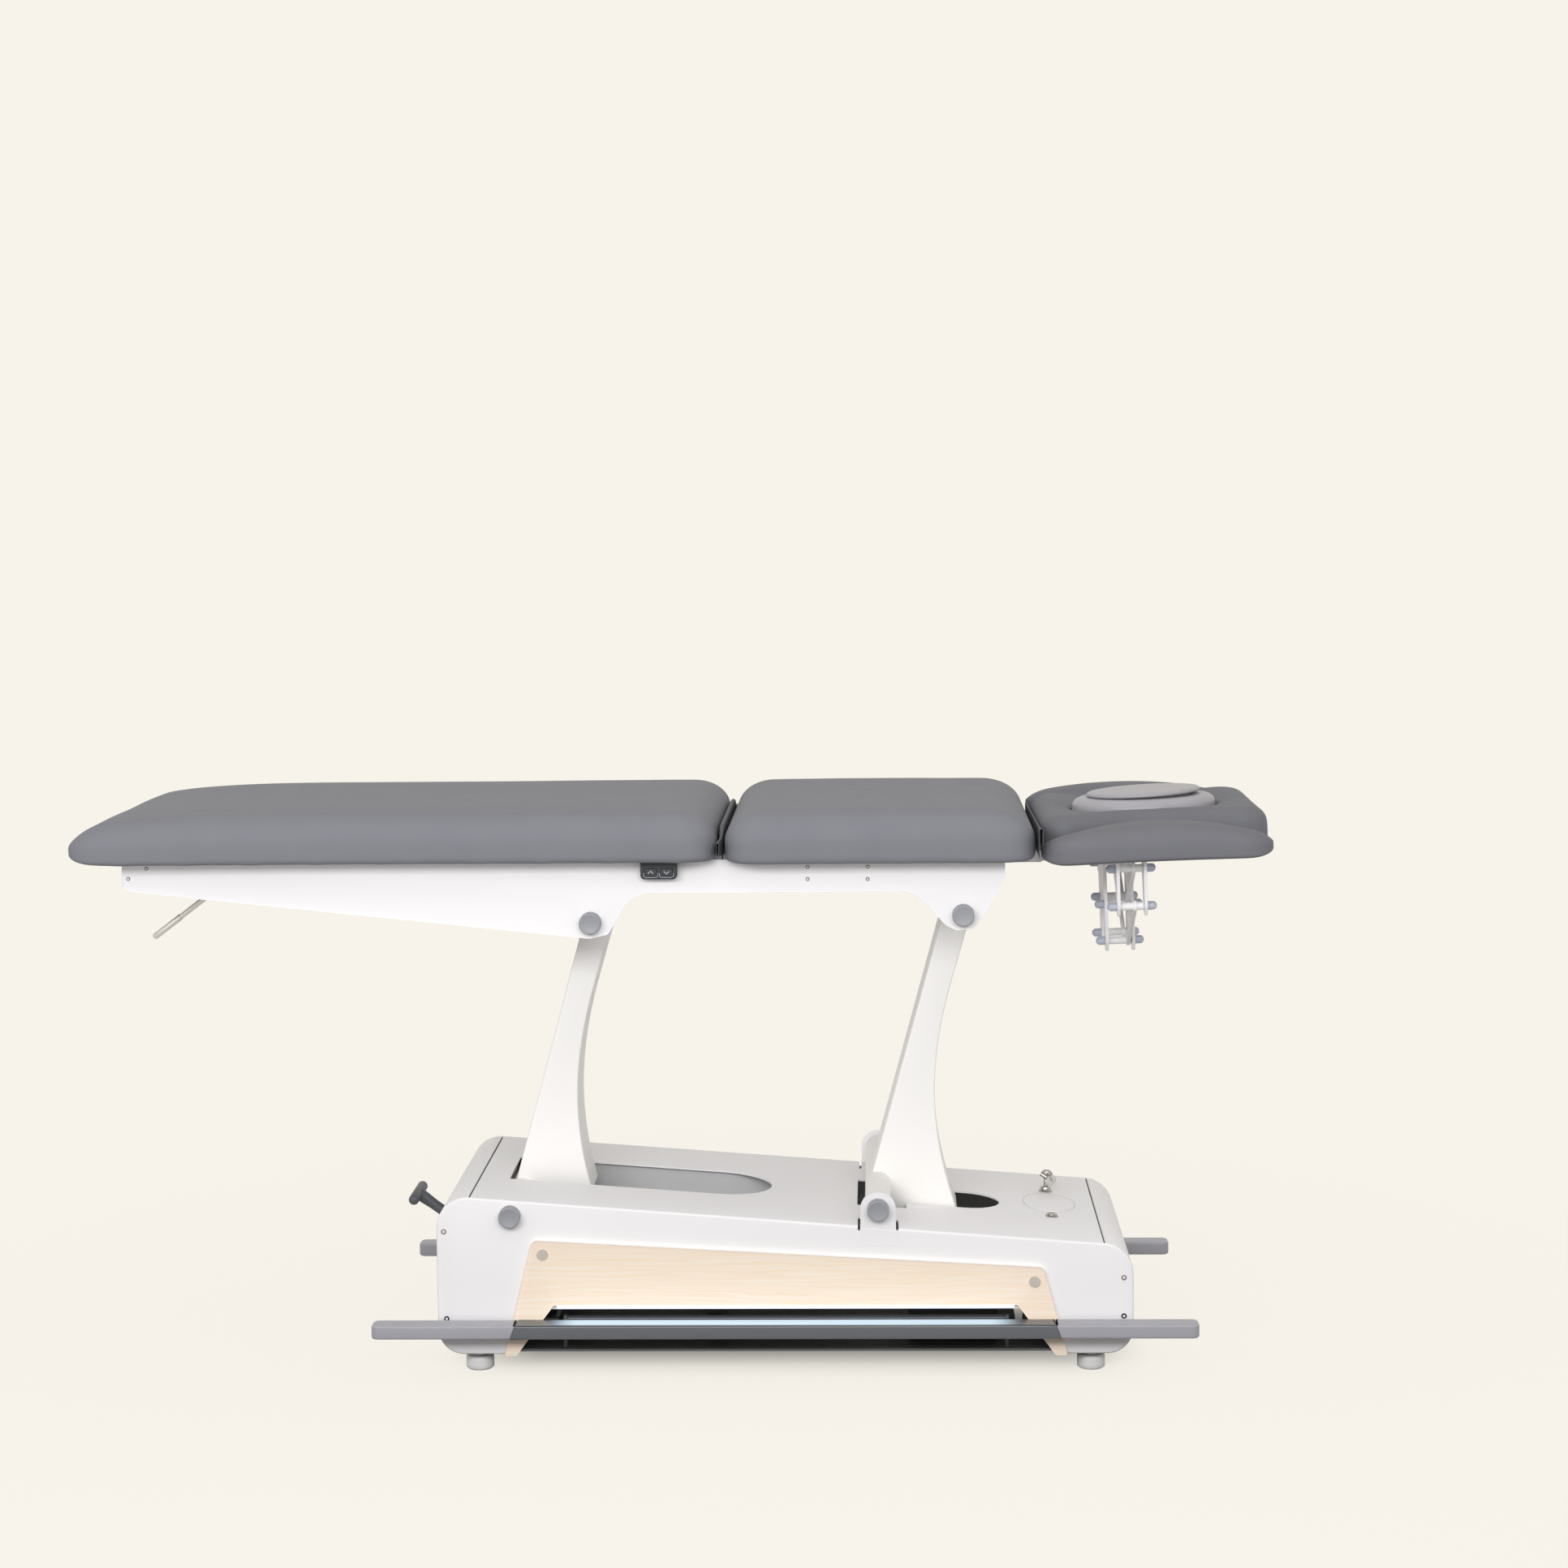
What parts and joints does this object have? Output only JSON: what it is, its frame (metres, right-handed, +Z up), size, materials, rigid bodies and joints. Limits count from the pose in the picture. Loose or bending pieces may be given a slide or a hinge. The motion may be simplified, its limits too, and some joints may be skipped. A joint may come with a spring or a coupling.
{
  "type": "electric physiotherapy table",
  "caption": "Height-adjustable electric physiotherapy table: sectioned padded top with armrests and face opening on parallel lifting arms over a sheet-metal base with foot bars.",
  "frame": {"origin": "on the floor, under the middle of the bounding box", "axes": "+X towards the head end, +Y to the far side, +Z up"},
  "size_m": [2.0581, 0.663, 0.9947],
  "materials": {
    "black_powder_coat": "satin powder coat",
    "white_powder_coat": "satin powder coat",
    "grey_powder_coat": "satin powder coat",
    "grey_vinyl": "matt vinyl over foam",
    "grey_plastic": "satin",
    "dark_plastic": "matt",
    "plain_steel": "plain",
    "oak_panel": "pale oak face",
    "light_grey_cap": "satin",
    "dark_anodised": "dark anodised",
    "white_plastic": "satin",
    "light_strip": "translucent",
    "wheel_rubber": "matt"
  },
  "bodies": {
    "base": {"base_housing": "white_powder_coat", "foot_end_cover": "white_powder_coat", "head_end_cover": "white_powder_coat", "chassis": "black_powder_coat", "arm_trough": "grey_powder_coat", "wood_panel_near": "oak_panel", "wood_panel_far": "oak_panel", "light_strip_near": "light_strip", "light_strip_far": "light_strip", "levelling_foot_foot_near": "white_plastic", "levelling_foot_foot_far": "white_plastic", "levelling_foot_head_near": "white_plastic", "levelling_foot_head_far": "white_plastic", "foot_arm_lower_pin": "grey_plastic", "head_arm_lower_pin": "grey_plastic", "lift_drive": "dark_plastic", "control_box": "dark_plastic", "cable_loom": "dark_plastic", "service_cover": "white_powder_coat", "key_switch": "plain_steel"},
    "foot_arm": {"foot_arm": "white_powder_coat"},
    "head_arm": {"head_arm": "white_powder_coat"},
    "drive_rod": {"drive_rod": "plain_steel"},
    "top_frame": {"side_plate_near": "white_powder_coat", "side_plate_far": "white_powder_coat", "foot_arm_upper_pin": "grey_plastic", "head_arm_upper_pin": "grey_plastic", "foot_cross_beam": "white_powder_coat", "mid_frame": "white_powder_coat", "hand_switch": "dark_plastic", "mid_pad": "grey_vinyl"},
    "up_button": {"up_button": "dark_plastic"},
    "down_button": {"down_button": "dark_plastic"},
    "leg_section": {"leg_pad": "grey_vinyl", "leg_frame": "white_powder_coat"},
    "release_lever": {"release_lever": "plain_steel"},
    "head_section": {"head_pad": "grey_vinyl", "head_frame": "white_powder_coat", "face_insert": "grey_plastic"},
    "face_lid": {"face_lid": "grey_plastic"},
    "near_upper_link": {"near_upper_link": "white_powder_coat"},
    "near_lower_link": {"near_lower_link": "white_powder_coat"},
    "near_armrest": {"near_armrest_bracket": "white_powder_coat", "near_armrest_pad": "grey_vinyl"},
    "far_upper_link": {"far_upper_link": "white_powder_coat"},
    "far_lower_link": {"far_lower_link": "white_powder_coat"},
    "far_armrest": {"far_armrest_bracket": "white_powder_coat", "far_armrest_pad": "grey_vinyl"},
    "foot_bar_near": {"foot_bar_near": "dark_anodised", "foot_bar_end_foot_near": "light_grey_cap", "foot_bar_end_head_near": "light_grey_cap"},
    "foot_bar_far": {"foot_bar_far": "dark_anodised", "foot_bar_end_foot_far": "light_grey_cap", "foot_bar_end_head_far": "light_grey_cap"},
    "castor_pedal": {"castor_pedal": "dark_plastic"},
    "castor_head_shaft": {"castor_head_shaft": "grey_powder_coat"},
    "castor_tie_rod": {"castor_tie_rod": "plain_steel"},
    "foot_wheel_set": {"foot_wheel_set": "wheel_rubber"},
    "head_wheel_set": {"head_wheel_set": "wheel_rubber"},
    "key": {"key": "plain_steel"}
  },
  "joints": [
    {"name": "lift", "type": "hinge", "parent": "base", "child": "foot_arm", "pos_m": [-0.2857, 0, 0.2815], "axis": [0, 1, 0], "range_deg": [0, 62]},
    {"name": "head_arm_swing", "type": "hinge", "parent": "base", "child": "head_arm", "pos_m": [0.3488, 0, 0.2917], "axis": [0, 1, 0], "range_deg": [0, 62]},
    {"name": "top_level", "type": "hinge", "parent": "foot_arm", "child": "top_frame", "pos_m": [-0.13772, 0, 0.79219], "axis": [0, 1, 0], "range_deg": [-62, 0]},
    {"name": "drive_stroke", "type": "slide", "parent": "base", "child": "drive_rod", "axis": [1, 0, 0], "range_m": [-0.15451, 0]},
    {"name": "leg_tilt", "type": "hinge", "parent": "top_frame", "child": "leg_section", "pos_m": [0.0863, 0, 0.948], "axis": [0, 1, 0], "range_deg": [0, 70]},
    {"name": "head_tilt", "type": "hinge", "parent": "top_frame", "child": "head_section", "pos_m": [0.6255, 0, 0.88], "axis": [0, -1, 0], "range_deg": [-60, 2]},
    {"name": "release_pull", "type": "hinge", "parent": "leg_section", "child": "release_lever", "pos_m": [-0.778, 0, 0.86], "axis": [0, 1, 0], "range_deg": [0, 12], "stiffness_Nm_per_rad": 3, "springref_deg": -8.59},
    {"name": "up_press", "type": "slide", "parent": "top_frame", "child": "up_button", "axis": [0, 1, 0], "range_m": [0, 0.001], "stiffness_N_per_m": 800},
    {"name": "down_press", "type": "slide", "parent": "top_frame", "child": "down_button", "axis": [0, 1, 0], "range_m": [0, 0.001], "stiffness_N_per_m": 800},
    {"name": "lid_lift", "type": "slide", "parent": "head_section", "child": "face_lid", "axis": [-0.0366, 0, 0.9993], "range_m": [0, 0.1]},
    {"name": "foot_bar_near_tilt", "type": "hinge", "parent": "base", "child": "foot_bar_near", "pos_m": [0, -0.225, 0.09025], "axis": [1, 0, 0], "range_deg": [-4, 4], "stiffness_Nm_per_rad": 300},
    {"name": "foot_bar_far_tilt", "type": "hinge", "parent": "base", "child": "foot_bar_far", "pos_m": [0, 0.225, 0.09025], "axis": [-1, 0, 0], "range_deg": [-4, 4], "stiffness_Nm_per_rad": 300},
    {"name": "castor_press", "type": "hinge", "parent": "base", "child": "castor_pedal", "pos_m": [-0.224, 0, 0.075], "axis": [0, -1, 0], "range_deg": [0, 35]},
    {"name": "castor_head_turn", "type": "hinge", "parent": "base", "child": "castor_head_shaft", "pos_m": [0.735, 0, 0.075], "axis": [0, -1, 0], "range_deg": [0, 35]},
    {"name": "castor_tie_turn", "type": "hinge", "parent": "castor_pedal", "child": "castor_tie_rod", "pos_m": [-0.224, 0.1, 0.111], "axis": [0, -1, 0], "range_deg": [-35, 0]},
    {"name": "foot_wheels_roll", "type": "hinge", "parent": "castor_pedal", "child": "foot_wheel_set", "pos_m": [-0.334, 0, 0.075], "axis": [0, 1, 0], "continuous": true},
    {"name": "head_wheels_roll", "type": "hinge", "parent": "castor_head_shaft", "child": "head_wheel_set", "pos_m": [0.625, 0, 0.075], "axis": [0, 1, 0], "continuous": true},
    {"name": "key_turn", "type": "hinge", "parent": "base", "child": "key", "pos_m": [0.655, 0.115, 0.237], "axis": [0.0756, 0, 0.9971], "range_deg": [0, 90]},
    {"name": "near_armrest_lower", "type": "hinge", "parent": "head_section", "child": "near_upper_link", "pos_m": [0.7557, -0.05, 0.78972], "axis": [0.9993, 0, 0.0366], "range_deg": [-5.5, 40]},
    {"name": "near_lower_link_turn", "type": "hinge", "parent": "head_section", "child": "near_lower_link", "pos_m": [0.75808, -0.05, 0.72477], "axis": [0.9993, 0, 0.0366], "range_deg": [-5.5, 40]},
    {"name": "near_armrest_level", "type": "hinge", "parent": "near_upper_link", "child": "near_armrest", "pos_m": [0.75254, -0.24, 0.87585], "axis": [0.9993, 0, 0.0366], "range_deg": [-40, 5.5]},
    {"name": "far_armrest_lower", "type": "hinge", "parent": "head_section", "child": "far_upper_link", "pos_m": [0.7557, 0.05, 0.78972], "axis": [-0.9993, 0, -0.0366], "range_deg": [0, 45.5]},
    {"name": "far_lower_link_turn", "type": "hinge", "parent": "head_section", "child": "far_lower_link", "pos_m": [0.75808, 0.05, 0.72477], "axis": [-0.9993, 0, -0.0366], "range_deg": [0, 45.5]},
    {"name": "far_armrest_level", "type": "hinge", "parent": "far_upper_link", "child": "far_armrest", "pos_m": [0.75189, 0.23086, 0.89365], "axis": [-0.9993, 0, -0.0366], "range_deg": [-45.5, 0]}
  ],
  "couplings": [
    {"joint": "head_arm_swing", "follows": "lift", "ratio": 1},
    {"joint": "top_level", "follows": "lift", "ratio": -1},
    {"joint": "drive_stroke", "follows": "lift", "m_per_rad": -0.14279},
    {"joint": "castor_head_turn", "follows": "castor_press", "ratio": 1},
    {"joint": "castor_tie_turn", "follows": "castor_press", "ratio": -1},
    {"joint": "near_lower_link_turn", "follows": "near_armrest_lower", "ratio": 1},
    {"joint": "near_armrest_level", "follows": "near_armrest_lower", "ratio": -1},
    {"joint": "far_lower_link_turn", "follows": "far_armrest_lower", "ratio": 1},
    {"joint": "far_armrest_level", "follows": "far_armrest_lower", "ratio": -1}
  ]
}
